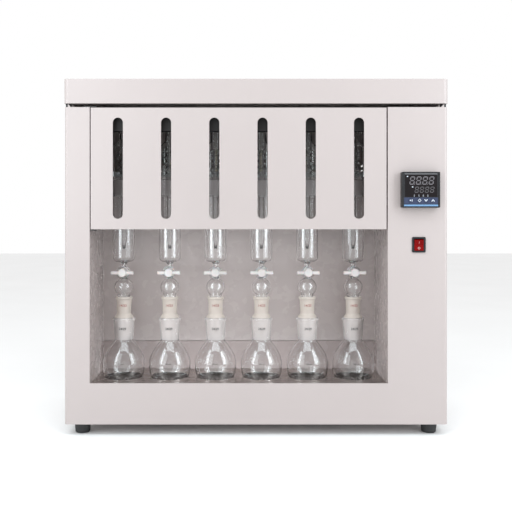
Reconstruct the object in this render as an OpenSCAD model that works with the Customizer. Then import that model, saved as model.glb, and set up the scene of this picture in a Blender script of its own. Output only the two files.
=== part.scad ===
// Six-station Soxhlet extractor: a bench cabinet with a heated water bath,
// six sets of extraction glassware, a temperature controller and a mains switch.
// Millimetres, +Z up, front towards -Y, origin under the middle of the bounding box.

/* [Cabinet] */
// Width of the cabinet body
body_w = 732; // [720:1:760]
// Depth of the cabinet body, front sheet to rear sheet
body_d = 300; // [295:1:330]
// Height of the body's top edge above the bench
body_top = 628; // [628:1:650]
// Height of the feet under the base
foot_h = 21.5; // [15:0.5:22]
// Thickness of the painted sheet
sheet = 1.5; // [1.2:0.1:1.5]
// Width of the left pillar of the front sheet
pillar_w = 48; // [44:1:60]
// Width of the working opening
opening_w = 570; // [566:1:572]
// Height of the opening's lower edge
opening_z = 100; // [99:0.5:101]
// Depth of the recess behind the front face
recess_d = 143; // [140:1:150]

/* [Lid and door] */
// Width of the lid
lid_w = 735; // [735:1:740]
// Lowest edge of the lid
lid_z = 635; // [635:1:640]
// Height of the lid
lid_h = 47; // [40:1:60]
// Lower edge of the door
door_z = 394.5; // [390:0.5:400]
// Depth of the door pan
door_t = 14; // [10:1:16]
// Width of a viewing slot
slot_w = 19.5; // [16:0.5:24]
// Lower end of the viewing slots
slot_z0 = 414.5; // [410:0.5:420]
// Upper end of the viewing slots
slot_z1 = 608; // [560:1:612]

/* [Glassware] */
// Distance between stations
pitch = 92.2; // [88:0.1:93]
// Middle of the row of stations, from the cabinet's middle
row_x = -33.6; // [-36:0.1:-31]
// Depth of the glass axes behind the front face
glass_d = 75; // [72:1:80]
// Outer radius of the extraction tube and the condenser jacket
tube_r = 21.8; // [21:0.1:22]
// Glass wall
wall = 1.8; // [1.6:0.1:2]
// Largest radius of the flask
flask_r = 41.8; // [40:0.1:43]
// Lift of a station that frees its flask
station_lift = 40; // [30:1:40]
// Lift of a condenser out of its extraction tube
condenser_lift = 30; // [20:1:30]

/* [Water bath] */
// Upper face of the bath's cover plate
plate_z = 98; // [97:0.5:99]
// Radius of the flask holes in the cover plate
hole_r = 38; // [37.8:0.1:39]
// Bath tank depth below the cover plate
tank_h = 64; // [55:1:66]

/* [Controls] */
// Width of the controller's bezel
controller_w = 72; // [70:1:74]
// Height of the controller's bezel
controller_h = 68; // [66:1:72]
// How far the controller stands out of the panel
controller_out = 15; // [12:1:15]
// Width of the switch bezel
switch_w = 25.6; // [24:0.1:27]
// Height of the switch bezel
switch_h = 29.6; // [28:0.1:31]

/* [Hidden] */
stations = 6;
button_names = ["set", "shift", "down", "up"];
glass_names = ["flask", "adapter", "extraction_tube", "stopcock_key", "condenser"];

// Standing out of the body at the front and at the back
rear_out = 25;
front_y = -(body_d + controller_out + rear_out) / 2 + controller_out;
rear_y = front_y + body_d;
half_w = body_w / 2;
corner_r = 5;
open_x0 = -half_w + pillar_w;
open_x1 = open_x0 + opening_w;
wall_y = front_y + recess_d;
liner = 1.2;
splash_top = 157;
wall_top = 512;
fit = 0.05;
paint = [0.93, 0.93, 0.92];
steel = [0.72, 0.74, 0.74];
glass = [0.8, 0.88, 0.9, 0.5];
black = [0.08, 0.08, 0.09];

glass_y = front_y + glass_d;
foot_inset = 29;
foot_y = [front_y + foot_inset, rear_y - foot_inset];
screw_r = 1.6;

// Station numbers run from left to right
function station_x(i) = row_x + (i - (stations + 1) / 2) * pitch;

// Points on an arc in a plane
function arc(centre, r, from, to, steps) =
    [for (k = [0:steps]) let (a = from + (to - from) * k / steps)
        [centre[0] + r * cos(a), centre[1] + r * sin(a)]];

// Outline of a rectangle with rounded corners
function round_rect(x0, y0, x1, y1, r, steps = 5) = concat(
    arc([x1 - r, y0 + r], r, -90, 0, steps), arc([x1 - r, y1 - r], r, 0, 90, steps),
    arc([x0 + r, y1 - r], r, 90, 180, steps), arc([x0 + r, y0 + r], r, 180, 270, steps));

module box(x0, x1, y0, y1, z0, z1)
    translate([x0, y0, z0]) cube([x1 - x0, y1 - y0, z1 - z0]);

module lathe(points) rotate_extrude($fn = 64) polygon(points);

module at_station(i) translate([station_x(i), glass_y, 0]) children();

// A cylinder along Y that starts at y0
module rod_y(r, y0, y1, x = 0, z = 0)
    translate([x, y1, z]) rotate([90, 0, 0]) cylinder(r = r, h = y1 - y0, $fn = 48);

// A cylinder along X that starts at x0
module rod_x(r, x0, x1, y = 0, z = 0)
    translate([x0, y, z]) rotate([0, 90, 0]) cylinder(r = r, h = x1 - x0, $fn = 48);

// ---- Cabinet shell ----

rim_w = 12;
back_flange_w = 15;
rear_screw_z = [60, 200, 340, 480, 600];
rear_screw_x = half_w - 9;
controller_x = half_w - 54;
controller_z = 469.6;
controller_case = [66, 62];
switch_x = half_w - 55;
switch_z = 365;
switch_body = [21.6, 25.6];
rear_inner = rear_y - sheet;

module casing_plan(inset) {
    r = corner_r - inset;
    polygon(concat(
        [[half_w - inset, rear_inner], [-half_w + inset, rear_inner]],
        arc([-half_w + corner_r, front_y + corner_r], r, 180, 270, 5),
        arc([half_w - corner_r, front_y + corner_r], r, 270, 360, 5)));
}

module outer_casing() color(paint) {
    difference() {
        translate([0, 0, foot_h]) linear_extrude(body_top - foot_h) casing_plan(0);
        difference() {
            translate([0, 0, foot_h - 1]) linear_extrude(body_top - foot_h + 2) casing_plan(sheet);
            // Rim that carries the lid, left and right, and the rear screw flanges
            for (s = [-1, 1]) {
                translate([s * (half_w - rim_w / 2), 0, body_top - sheet / 2])
                    cube([rim_w, 2 * body_d, sheet], center = true);
                translate([s * (half_w - back_flange_w / 2), rear_inner - sheet / 2, body_top / 2])
                    cube([back_flange_w, sheet, 2 * body_top], center = true);
            }
            box(open_x1, half_w, front_y, front_y + rim_w, body_top - sheet, body_top);
            box(-half_w, open_x0, front_y, front_y + rim_w, body_top - sheet, body_top);
        }
        box(open_x0, open_x1, front_y - 1, front_y + rim_w + 1, opening_z, body_top + 1);
        box(controller_x - controller_case[0] / 2, controller_x + controller_case[0] / 2,
            front_y - 1, front_y + 3, controller_z - controller_case[1] / 2,
            controller_z + controller_case[1] / 2);
        box(switch_x - switch_body[0] / 2, switch_x + switch_body[0] / 2, front_y - 1, front_y + 3,
            switch_z - switch_body[1] / 2, switch_z + switch_body[1] / 2);
        for (s = [-1, 1], z = rear_screw_z) rod_y(screw_r + 0.1, rear_inner - 4, rear_inner + 1, s * rear_screw_x, z);
    }
    // Small gusset at each front corner, under the lid
    for (s = [-1, 1])
        translate([s * (half_w - 9), front_y + 3, body_top]) rotate([90, 0, 0])
            linear_extrude(sheet) polygon([[-3, 0], [3, 0], [s * 3, 6.4]]);
}

base_flange = 14;

module base_pan() color(paint) difference() {
    box(-half_w + sheet, half_w - sheet, front_y + corner_r, rear_inner - sheet, foot_h, foot_h + base_flange);
    box(-half_w + 2 * sheet, half_w - 2 * sheet, front_y + corner_r + sheet, rear_inner - 2 * sheet,
        foot_h + sheet, foot_h + base_flange + 1);
    for (s = [-1, 1], y = foot_y)
        translate([s * (half_w - foot_inset), y, foot_h - 1]) cylinder(r = 2.6, h = 4, $fn = 32);
    // Vent slots under the electronics
    for (k = [0:4])
        box(286, 346, front_y + 90 + k * 14, front_y + 95 + k * 14, foot_h - 1, foot_h + sheet + 1);
}

inlet_x = 300;
inlet_z = 72;
inlet_hole = [47, 27];
supply_z = 520;
return_z = 548;
fitting_x = -300;
barb_r = 5;
manifold_r = 8;
hinge_x = [-230, 230];
hinge_leaf = [60, 34];
leaf_screw_dx = 20;

module rear_panel() color(paint) difference() {
    box(-half_w, half_w, rear_inner, rear_y, foot_h, body_top);
    box(inlet_x - inlet_hole[0] / 2, inlet_x + inlet_hole[0] / 2, rear_inner - 1, rear_y + 1,
        inlet_z - inlet_hole[1] / 2, inlet_z + inlet_hole[1] / 2);
    for (z = [supply_z, return_z]) rod_y(barb_r + 0.3, rear_inner - 1, rear_y + 1, fitting_x, z);
    for (s = [-1, 1], z = rear_screw_z) rod_y(screw_r + 0.1, rear_inner - 1, rear_y + 1, s * rear_screw_x, z);
    for (x = hinge_x, s = [-1, 1])
        rod_y(screw_r + 0.1, rear_inner - 1, rear_y + 1, x + s * leaf_screw_dx, body_top - 18);
    // Vents behind the electronics and behind the condensers
    for (k = [0:9]) box(272, 348, rear_inner - 1, rear_y + 1, 420 + k * 12, 424 + k * 12);
    for (k = [0:7], j = [-1, 1])
        box(-35 + j * 110 - 60, -35 + j * 110 + 60, rear_inner - 1, rear_y + 1, 120 + k * 12, 124 + k * 12);
}

// ---- Recess ----

liner_z0 = foot_h + base_flange + 1;

// Back wall with its folded top edge, and the two side walls
module recess_liner() color(paint) {
    box(open_x0, open_x1, wall_y, wall_y + liner, splash_top, wall_top);
    box(open_x0, open_x1, wall_y + liner, wall_y + rim_w, wall_top - liner, wall_top);
    box(open_x0 - liner, open_x0, front_y + sheet, wall_y + liner, liner_z0, body_top - sheet);
    difference() {
        box(open_x1, open_x1 + liner, front_y + sheet, wall_y + liner, liner_z0, body_top - sheet);
        for (y = heater_y) rod_x(gland_r + 0.3, open_x1 - 1, open_x1 + 3, y, heater_z);
        rod_x(gland_r + 0.3, open_x1 - 1, open_x1 + 3, probe_y, probe_z);
    }
}

module splash_panel() color(paint) difference() {
    box(open_x0, open_x1, front_y + 110, wall_y, plate_z, splash_top - 0.6);
    box(open_x0 + liner, open_x1 - liner, front_y + 100, wall_y - liner, plate_z - 1, splash_top);
}

// ---- Water bath ----

tank_x = [open_x0 + 6, open_x1 - 6];
tank_y = [front_y + 10, wall_y - 8];
tank_wall = 1.2;
tank_z = plate_z - sheet - tank_h;
heater_r = 4;
heater_bend = 30;
heater_z = tank_z + 16;
heater_y = [glass_y - heater_bend, glass_y + heater_bend];
heater_x0 = tank_x[0] + 50;
gland_r = 7;
probe_r = 2.5;
probe_y = glass_y;
probe_z = tank_z + 32;
grid_z = 84;
grid_t = 2;

module bath_cover_plate() color(steel) difference() {
    box(open_x0 + 0.6, open_x1 - 0.6, front_y + sheet + 0.5, wall_y - liner - 0.6, plate_z - sheet, plate_z);
    for (i = [1:stations]) at_station(i) translate([0, 0, plate_z - 5]) cylinder(r = hole_r, h = 10, $fn = 96);
}

module bath_tank() color(steel) {
    rim = 5;
    difference() {
        union() {
            box(tank_x[0], tank_x[1], tank_y[0], tank_y[1], tank_z, plate_z - sheet);
            box(tank_x[0] - rim, tank_x[1] + rim, tank_y[0] - rim, tank_y[1] + rim,
                plate_z - sheet - tank_wall, plate_z - sheet);
        }
        box(tank_x[0] + tank_wall, tank_x[1] - tank_wall, tank_y[0] + tank_wall, tank_y[1] - tank_wall,
            tank_z + tank_wall, plate_z);
        for (y = heater_y) rod_x(heater_r + fit, tank_x[1] - 5, tank_x[1] + 5, y, heater_z);
        rod_x(probe_r + fit, tank_x[1] - 5, tank_x[1] + 5, probe_y, probe_z);
    }
}

module flask_grid() color(steel) difference() {
    union() {
        box(tank_x[0] + 4, tank_x[1] - 4, tank_y[0] + 4, tank_y[1] - 4, grid_z - grid_t, grid_z);
        for (x = [tank_x[0] + 14, 0, tank_x[1] - 14], y = [tank_y[0] + 10, tank_y[1] - 10])
            translate([x, y, tank_z + tank_wall]) cylinder(r = 4, h = grid_z - grid_t - tank_z - tank_wall, $fn = 32);
    }
    for (i = [1:stations], dx = [-30:15:30], dy = [-30:15:30])
        at_station(i) translate([dx, dy, grid_z - 5]) cylinder(r = 4, h = 8, $fn = 24);
}

module heater_element() color(steel) {
    end_x = open_x1 + 14;
    union() {
        for (y = heater_y) rod_x(heater_r, heater_x0, end_x, y, heater_z);
        translate([heater_x0, glass_y, heater_z]) rotate([0, 0, 90])
            rotate_extrude(angle = 180, $fn = 64) translate([heater_bend, 0]) circle(r = heater_r, $fn = 32);
        // Gland nuts outside the tank wall
        for (y = heater_y) rod_x(gland_r, tank_x[1] + 0.2, tank_x[1] + 5.5, y, heater_z);
    }
    // Saddles that hold the tube off the tank floor
    for (x = [-200, 0, 180])
        box(x, x + 2, heater_y[0] - 8, heater_y[1] + 8, tank_z + tank_wall, heater_z - heater_r - 0.05);
    // Ceramic beads and terminals
    for (y = heater_y) rod_x(2, end_x, end_x + 12, y, heater_z);
}

module temperature_probe() color(steel) union() {
    rod_x(probe_r, tank_x[1] - 60, open_x1 + 20, probe_y, probe_z);
    rod_x(gland_r - 1, tank_x[1] + 0.2, tank_x[1] + 5.5, probe_y, probe_z);
    rod_x(4.5, open_x1 + 3, open_x1 + 24, probe_y, probe_z);
}

// ---- Condenser support and cooling water ----

clip_z = 498;
clip_h = 10;
clip_gap = 0.35;
rail_y = front_y + 17;
rail_z = 584;

module condenser_clips() color(steel) for (i = [1:stations]) at_station(i) {
    r0 = tube_r + clip_gap;
    back = wall_y - glass_y;
    difference() {
        translate([0, 0, clip_z]) cylinder(r = r0 + 1.4, h = clip_h, $fn = 64);
        translate([0, 0, clip_z - 1]) cylinder(r = r0, h = clip_h + 2, $fn = 64);
        // Open mouth towards the front
        translate([0, 0, clip_z - 1]) linear_extrude(clip_h + 2)
            polygon([[0, 4], [-40, -28], [-40, -40], [40, -40], [40, -28]]);
    }
    box(-5, 5, r0 + 0.8, back - sheet, clip_z + 1, clip_z + clip_h - 1);
    box(-14, 14, back - sheet, back, clip_z - 4, clip_z + clip_h + 2);
}

module top_front_rail() color(black) union() {
    box(open_x0, open_x1, rail_y, rail_y + sheet, rail_z, body_top - sheet);
    box(open_x0, open_x1, rail_y, rail_y + 20, rail_z, rail_z + sheet);
}

manifold_y = rear_y - 85;
stub_r = 4;
barb_tip_y = glass_y + tube_r + 20;
manifold_tip_y = manifold_y - 22;

module manifold(z) difference() {
    union() {
        rod_x(manifold_r, fitting_x - 12, station_x(stations) + 14, manifold_y, z);
        for (i = [1:stations]) rod_y(stub_r, manifold_tip_y, manifold_y, station_x(i), z);
        rod_y(barb_r + 2, manifold_y, rear_inner - 0.3, fitting_x, z);
        rod_y(barb_r, manifold_y, rear_y + rear_out, fitting_x, z);
        translate([fitting_x, rear_y + 0.2, z]) rotate([-90, 0, 0]) cylinder(r = 9, h = 4, $fn = 6);
    }
    rod_x(manifold_r - 1.2, fitting_x - 10, station_x(stations) + 12, manifold_y, z);
    rod_y(barb_r - 1.5, manifold_y, rear_y + rear_out + 1, fitting_x, z);
    for (i = [1:stations]) rod_y(stub_r - 1.2, manifold_tip_y - 1, manifold_y, station_x(i), z);
}

module water_manifolds() color(steel) for (z = [supply_z, return_z]) {
    manifold(z);
    for (x = [-210, 150]) box(x, x + 10, manifold_y + manifold_r, rear_inner, z - 4, z + 4);
}

hose_r = 4.6;
hose_sides = 8;
hose_rings = 13;
hose_slack = 28;

// Cubic curve from the condenser's barb to the manifold's stub, with some slack to lift
function hose_point(t, rise) = [
    pow(1 - t, 3) * barb_tip_y + 3 * t * pow(1 - t, 2) * (barb_tip_y + 36)
        + 3 * t * t * (1 - t) * (manifold_tip_y - 36) + t * t * t * manifold_tip_y,
    3 * t * (1 - t) * rise * (1 - 2 * t)];

module hose(x, z, rise) {
    path = [for (k = [0:hose_rings]) hose_point(k / hose_rings, rise)];
    ring = [for (s = [0:hose_sides - 1]) s * 360 / hose_sides];
    slope = [for (k = [0:hose_rings]) let (a = path[max(k - 1, 0)], b = path[min(k + 1, hose_rings)])
        (k == 0 || k == hose_rings) ? 0 : atan2(b[1] - a[1], b[0] - a[0])];
    points = [for (k = [0:hose_rings], a = ring) [
        x + hose_r * cos(a), path[k][0] - hose_r * sin(a) * sin(slope[k]),
        z + path[k][1] + hose_r * sin(a) * cos(slope[k])]];
    n = hose_sides;
    polyhedron(points, concat(
        [[for (s = [0:n - 1]) s]], [[for (s = [n - 1:-1:0]) hose_rings * n + s]],
        [for (k = [0:hose_rings - 1], s = [0:n - 1])
            [k * n + s, (k + 1) * n + s, (k + 1) * n + (s + 1) % n, k * n + (s + 1) % n]]));
}

module condenser_hoses() color([0.85, 0.82, 0.7])
    for (i = [1:stations], z = [supply_z, return_z]) hose(station_x(i), z, hose_slack);

// ---- Feet and fasteners ----

module feet() color(black) for (s = [-1, 1], y = foot_y) translate([s * (half_w - foot_inset), y, 0])
    lathe(concat([[6, 0], [12, 0]], arc([12.2, 2], 2, -90, -10, 4),
        [[16, foot_h], [2.6, foot_h], [2.6, 8], [6, 8]]));

module pan_screw(length) color(steel) rotate([90, 0, 0]) {
    translate([0, 0, -length]) cylinder(r = screw_r, h = length, $fn = 24);
    difference() {
        lathe([[0, 0], [3.4, 0], [3.4, 0.8], [2.6, 1.7], [0, 2]]);
        for (a = [0, 90]) rotate([0, 0, a]) translate([-1.8, -0.4, 1]) cube([3.6, 0.8, 3]);
    }
}

module screws() {
    for (s = [-1, 1], z = rear_screw_z)
        translate([s * rear_screw_x, rear_y, z]) rotate([0, 0, 180]) pan_screw(8);
    for (x = hinge_x, s = [-1, 1])
        translate([x + s * leaf_screw_dx, rear_y + 2, body_top - 18]) rotate([0, 0, 180]) pan_screw(7);
    for (s = [-1, 1], y = foot_y) color(steel) translate([s * (half_w - foot_inset), y, 0]) {
        translate([0, 0, 4.5]) cylinder(r = 4.8, h = 3.5, $fn = 32);
        translate([0, 0, 8]) cylinder(r = 2.4, h = foot_h + 1, $fn = 32);
        translate([0, 0, foot_h + sheet]) cylinder(r = 4.5, h = 4, $fn = 6);
    }
}

// ---- Lid ----

lid_over = (lid_w - body_w) / 2;
lid_y = [front_y - lid_over, rear_y + lid_over];
lid_corner = 8;
lid_rim = 11;
hinge_pin_y = rear_y + 5.5;
hinge_pin_z = lid_z - 3.5;
knuckle_r = 4;
pin_r = 2;
knuckle_half = 13;

module lid_plan(inset) polygon(round_rect(-lid_w / 2 + inset, lid_y[0] + inset,
    lid_w / 2 - inset, lid_y[1] - inset, lid_corner - inset * 0.9));

module lid() color(paint) {
    difference() {
        translate([0, 0, lid_z]) linear_extrude(lid_h) lid_plan(0);
        translate([0, 0, lid_z + sheet]) linear_extrude(lid_h - 2 * sheet) lid_plan(sheet);
        box(-lid_w / 2 + lid_rim, lid_w / 2 - lid_rim, lid_y[0] + lid_rim, lid_y[1] - lid_rim,
            lid_z - 1, lid_z + 3);
    }
    // Moving hinge leaves with their knuckles
    for (x = hinge_x) difference() {
        union() {
            box(x - knuckle_half + 0.4, x + knuckle_half - 0.4, lid_y[1], lid_y[1] + 2, hinge_pin_z, lid_z + 26);
            rod_x(knuckle_r, x - knuckle_half + 0.4, x + knuckle_half - 0.4, hinge_pin_y, hinge_pin_z);
        }
        rod_x(pin_r + fit, x - 20, x + 20, hinge_pin_y, hinge_pin_z);
    }
}

module lid_hinges() color(steel) for (x = hinge_x) {
    difference() {
        union() {
            box(x - hinge_leaf[0] / 2, x + hinge_leaf[0] / 2, rear_y, rear_y + 2,
                hinge_pin_z - hinge_leaf[1], hinge_pin_z - 8);
            for (s = [-1, 1]) {
                box(x + s * (hinge_leaf[0] / 2 + knuckle_half) / 2 - 8.5,
                    x + s * (hinge_leaf[0] / 2 + knuckle_half) / 2 + 8.5,
                    rear_y, rear_y + 2, hinge_pin_z - 9, hinge_pin_z);
                translate([x + s * (hinge_leaf[0] / 2 + knuckle_half) / 2, 0, 0])
                    rod_x(knuckle_r, -8.5, 8.5, hinge_pin_y, hinge_pin_z);
            }
        }
        for (s = [-1, 1]) rod_y(screw_r + 0.1, rear_y - 1, rear_y + 3, x + s * leaf_screw_dx, body_top - 18);
        rod_x(pin_r, x - 40, x + 40, hinge_pin_y, hinge_pin_z);
    }
    rod_x(pin_r, x - hinge_leaf[0] / 2, x + hinge_leaf[0] / 2, hinge_pin_y, hinge_pin_z);
}

module lid_buffers() color(black) for (s = [-1, 1], y = [front_y + 6, rear_y - 20])
    box(s * (half_w - 5.5) - 4.5, s * (half_w - 5.5) + 4.5, y, y + 12, body_top, lid_z);

// ---- Door ----

door_gap = [2, 2.6];
door_x = [open_x0 + door_gap[0], open_x1 - door_gap[1]];
door_top = body_top - 1;
pivot_x = door_x[0] + 4;
pivot_y = front_y + 4;
magnet_x = door_x[1] - 20;
magnet_z = 606;
magnet_front = front_y + 9;

module door() color(paint) {
    difference() {
        box(door_x[0], door_x[1], front_y, front_y + door_t, door_z, door_top);
        box(door_x[0] + sheet, door_x[1] - sheet, front_y + sheet, front_y + door_t + 1,
            door_z + sheet, door_top - sheet);
        for (i = [1:stations]) translate([station_x(i), 0, 0]) {
            for (z = [slot_z0 + slot_w / 2, slot_z1 - slot_w / 2])
                rod_y(slot_w / 2, front_y - 1, front_y + 3, 0, z);
            box(-slot_w / 2, slot_w / 2, front_y - 1, front_y + 3, slot_z0 + slot_w / 2, slot_z1 - slot_w / 2);
        }
        translate([pivot_x, pivot_y, door_z - 1]) cylinder(r = pin_r + fit, h = door_top - door_z + 2, $fn = 32);
    }
    // Strike plate for the magnetic catch
    box(magnet_x - 8, magnet_x + 8, front_y + sheet, magnet_front - 0.3, magnet_z - 6, magnet_z + 6);
}

module door_fittings() color(steel) {
    difference() {
        box(open_x0, pivot_x + 6, front_y + sheet, front_y + 10, door_z - 3, door_z - 1);
        translate([pivot_x, pivot_y, door_z - 4]) cylinder(r = pin_r, h = 4, $fn = 32);
    }
    translate([pivot_x, pivot_y, door_z - 3]) cylinder(r = pin_r, h = 10, $fn = 32);
    difference() {
        box(open_x0 - 12, pivot_x + 6, front_y + sheet + 0.5, front_y + 10, body_top, body_top + 2);
        translate([pivot_x, pivot_y, body_top - 1]) cylinder(r = pin_r, h = 4, $fn = 32);
    }
    translate([pivot_x, pivot_y, door_top - 8]) cylinder(r = pin_r, h = 11, $fn = 32);
    // Magnetic catch on the rail
    box(magnet_x - 10, magnet_x + 10, magnet_front, rail_y, magnet_z - 8, magnet_z + 8);
}

// ---- Controls ----

key_x = [-19, -3, 9.2, 22.6];
key_z = -20.2;
key_r = 4.4;
key_out = 0.8;
face_y = front_y - controller_out + 1;

module controller() color(black) difference() {
    union() {
        translate([controller_x, front_y, controller_z]) rotate([90, 0, 0]) linear_extrude(controller_out)
            polygon(round_rect(-controller_w / 2, -controller_h / 2, controller_w / 2, controller_h / 2, 2));
        box(controller_x - controller_case[0] / 2 + 0.2, controller_x + controller_case[0] / 2 - 0.2,
            front_y, front_y + 78, controller_z - controller_case[1] / 2 + 0.2,
            controller_z + controller_case[1] / 2 - 0.2);
    }
    // Sunk face inside the bezel
    box(controller_x - controller_w / 2 + 3.2, controller_x + controller_w / 2 - 3.2,
        front_y - controller_out - 1, face_y, controller_z - controller_h / 2 + 2.4,
        controller_z + controller_h / 2 - 2.4);
    for (x = key_x) rod_y(key_r + 0.25, face_y - 1, face_y + 6, controller_x + x, controller_z + key_z);
}

module key_button(k) color([0.3, 0.35, 0.5]) union() {
    rod_y(key_r, face_y - key_out + 0.4, face_y + 4.6, controller_x + key_x[k], controller_z + key_z);
    rod_y(key_r - 0.4, face_y - key_out, face_y + 1, controller_x + key_x[k], controller_z + key_z);
}

rocker_w = 17.4;
rocker_pivot_y = front_y + 5;
rocker_tilt = 7;
bezel_t = 2;

module rocker_frame() color(black) {
    difference() {
        union() {
            translate([switch_x, front_y, switch_z]) rotate([90, 0, 0]) linear_extrude(bezel_t)
                polygon(round_rect(-switch_w / 2, -switch_h / 2, switch_w / 2, switch_h / 2, 2));
            box(switch_x - switch_body[0] / 2 + 0.15, switch_x + switch_body[0] / 2 - 0.15, front_y,
                front_y + 24, switch_z - switch_body[1] / 2 + 0.15, switch_z + switch_body[1] / 2 - 0.15);
        }
        box(switch_x - rocker_w / 2 - 0.4, switch_x + rocker_w / 2 + 0.4, front_y - 5, front_y + 18,
            switch_z - 11.6, switch_z + 11.6);
        rod_x(1.5 + fit, switch_x - 10.2, switch_x + 10.2, rocker_pivot_y, switch_z);
    }
    for (z = [-8, 0, 8]) box(switch_x - 3, switch_x + 3, front_y + 24, front_y + 33, switch_z + z - 0.4, switch_z + z + 0.4);
}

module rocker() color([0.75, 0.1, 0.12]) translate([switch_x, rocker_pivot_y, switch_z]) rotate([rocker_tilt, 0, 0]) {
    rotate([90, 0, 90]) translate([0, 0, -rocker_w / 2]) linear_extrude(rocker_w)
        polygon(concat([[-9.3, 10], [-7.0, 0], [-9.3, -10], [-3, -10.6]],
            arc([0, 0], 6, -100, 100, 10), [[-3, 10.6]]));
    rod_x(1.5, -9.9, 9.9);
}

// ---- Electrics at the back ----

module power_inlet() color(black) {
    difference() {
        union() {
            box(inlet_x - 29, inlet_x + 29, rear_y, rear_y + 3, inlet_z - 16, inlet_z + 16);
            box(inlet_x - inlet_hole[0] / 2 + 0.2, inlet_x + inlet_hole[0] / 2 - 0.2, rear_y - 24, rear_y,
                inlet_z - inlet_hole[1] / 2 + 0.2, inlet_z + inlet_hole[1] / 2 - 0.2);
        }
        // Socket well and fuse drawer well
        box(inlet_x - 12, inlet_x + 12, rear_y - 17, rear_y + 4, inlet_z - 4, inlet_z + 12);
        box(inlet_x - 11, inlet_x + 11, rear_y - 10, rear_y + 4, inlet_z - 12, inlet_z - 6.5);
    }
    for (k = [-1, 0, 1]) box(inlet_x + k * 7 - 1, inlet_x + k * 7 + 1, rear_y - 17, rear_y - 1,
        inlet_z + 2 + (k == 0 ? 3 : 0), inlet_z + 6 + (k == 0 ? 3 : 0));
    box(inlet_x - 10.8, inlet_x + 10.8, rear_y - 10, rear_y + 2, inlet_z - 11.8, inlet_z - 6.7);
}

module relay_module() color([0.85, 0.85, 0.83]) {
    x = 309;
    y = front_y + 190;
    z0 = foot_h + sheet;
    // Finned heat sink with the relay and its terminal strip on top
    for (k = [-4:4]) box(x + k * 9 - 1, x + k * 9 + 1, y - 40, y + 40, z0, z0 + 26);
    box(x - 40, x + 40, y - 40, y + 40, z0 + 26, z0 + 31);
    box(x - 22, x + 22, y - 29, y + 29, z0 + 31, z0 + 54);
    for (s = [-1, 1]) box(x - 16, x + 16, y + s * 20 - 5, y + s * 20 + 5, z0 + 54, z0 + 60);
}

// ---- Glassware ----

flask_bottom = grid_z;
belly_z = 123;
neck_z = 170;
neck_r = 18.2;
flask_top = 216;
joint_film = 0.1;

// Outline of the flask's belly and shoulder, inset by w, from the bottom up
function belly(w) = concat(
    [for (a = [6:14:90]) [(flask_r - w) * pow(sin(a), 2 / 3),
        a == 6 ? flask_bottom + w : belly_z - (belly_z - flask_bottom - w) * pow(cos(a), 2 / 3)]],
    [for (t = [0:0.1:1.01]) [neck_r - w + (flask_r - neck_r) * cos(90 * t), belly_z + (neck_z - belly_z) * t]]);

// The belly's points in reverse, for an inner wall
function reversed(list) = [for (k = [len(list) - 1:-1:0]) list[k]];

// Inner wall of the flask's ground socket at height z
function flask_socket(z) = 16.4 + (z - neck_z) * 0.055;

module flask(i) color(glass) at_station(i) lathe(concat(
    [[0, flask_bottom]], belly(0),
    [[21.2, 210]], arc([21.2, 212.5], 1.9, -60, 60, 4), [[21.2, flask_top], [flask_socket(flask_top), flask_top]],
    [[flask_socket(neck_z + 2), neck_z + 2]], reversed(belly(wall)), [[0, flask_bottom + wall]]));

adapter_foot = 178;
adapter_neck = 224;
adapter_top = 258;
function adapter_socket(z) = 11.8 + (z - adapter_neck) * 0.045;

module adapter(i) color([0.86, 0.84, 0.78, 0.8]) at_station(i) lathe(concat(
    [[flask_socket(adapter_foot) - joint_film, adapter_foot],
     [flask_socket(flask_top) - joint_film, flask_top], [18.6, flask_top + 1.5], [16.2, flask_top + 4.6],
     [14.2, adapter_neck - 1], [13.85, adapter_neck + 2], [15.0, 251]],
    arc([15.4, 254.6], 1.9, -60, 60, 4),
    [[15.4, adapter_top], [adapter_socket(adapter_top), adapter_top], [adapter_socket(adapter_neck), adapter_neck],
     [11.6, adapter_neck - 2], [14.4, flask_top], [13.4, adapter_foot]]));

bulb_z = 276.5;
bulb_r = 19;
cock_z = 307;
barrel_r = 10;
barrel_l = 17;
plug_r = 6;
thimble_floor = 328;
tube_top = 491;
function tube_socket(z) = 18.9 + (z - 461) * 0.045;

module extraction_tube(i) color(glass) at_station(i) difference() {
    union() {
        lathe(concat(
            [[adapter_socket(226) - joint_film, 226], [adapter_socket(256) - joint_film, 256], [11.6, 259]],
            arc([0, bulb_z], bulb_r, -50, 74, 14),
            [[5, 297], [5, 320], [6.2, 325], [9, 327.4], [13.8, thimble_floor]],
            arc([13.8, thimble_floor + 8], 8, -75, 0, 6),
            [[tube_r, tube_top], [tube_socket(tube_top), tube_top], [tube_socket(461), 461], [tube_r - wall, 458]],
            reversed(arc([13.8, thimble_floor + 8], 8 - wall, -90, 0, 6)),
            [[2.6, thimble_floor + 0.9], [2.6, bulb_z + 17]],
            reversed(arc([0, bulb_z], bulb_r - wall, -54, 80, 14)), [[9.4, 257], [9.4, 226]]));
        rod_y(barrel_r, -barrel_l, barrel_l, 0, cock_z);
        rod_y(barrel_r + 3, -barrel_l, -barrel_l + 3, 0, cock_z);
    }
    rod_y(plug_r + fit, -barrel_l - 1, barrel_l + 1, 0, cock_z);
    translate([0, 0, bulb_z + 16]) cylinder(r = 2.6, h = 40, $fn = 32);
}

handle_l = 45;
handle_r = 3.85;
handle_y = -24;

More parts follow.
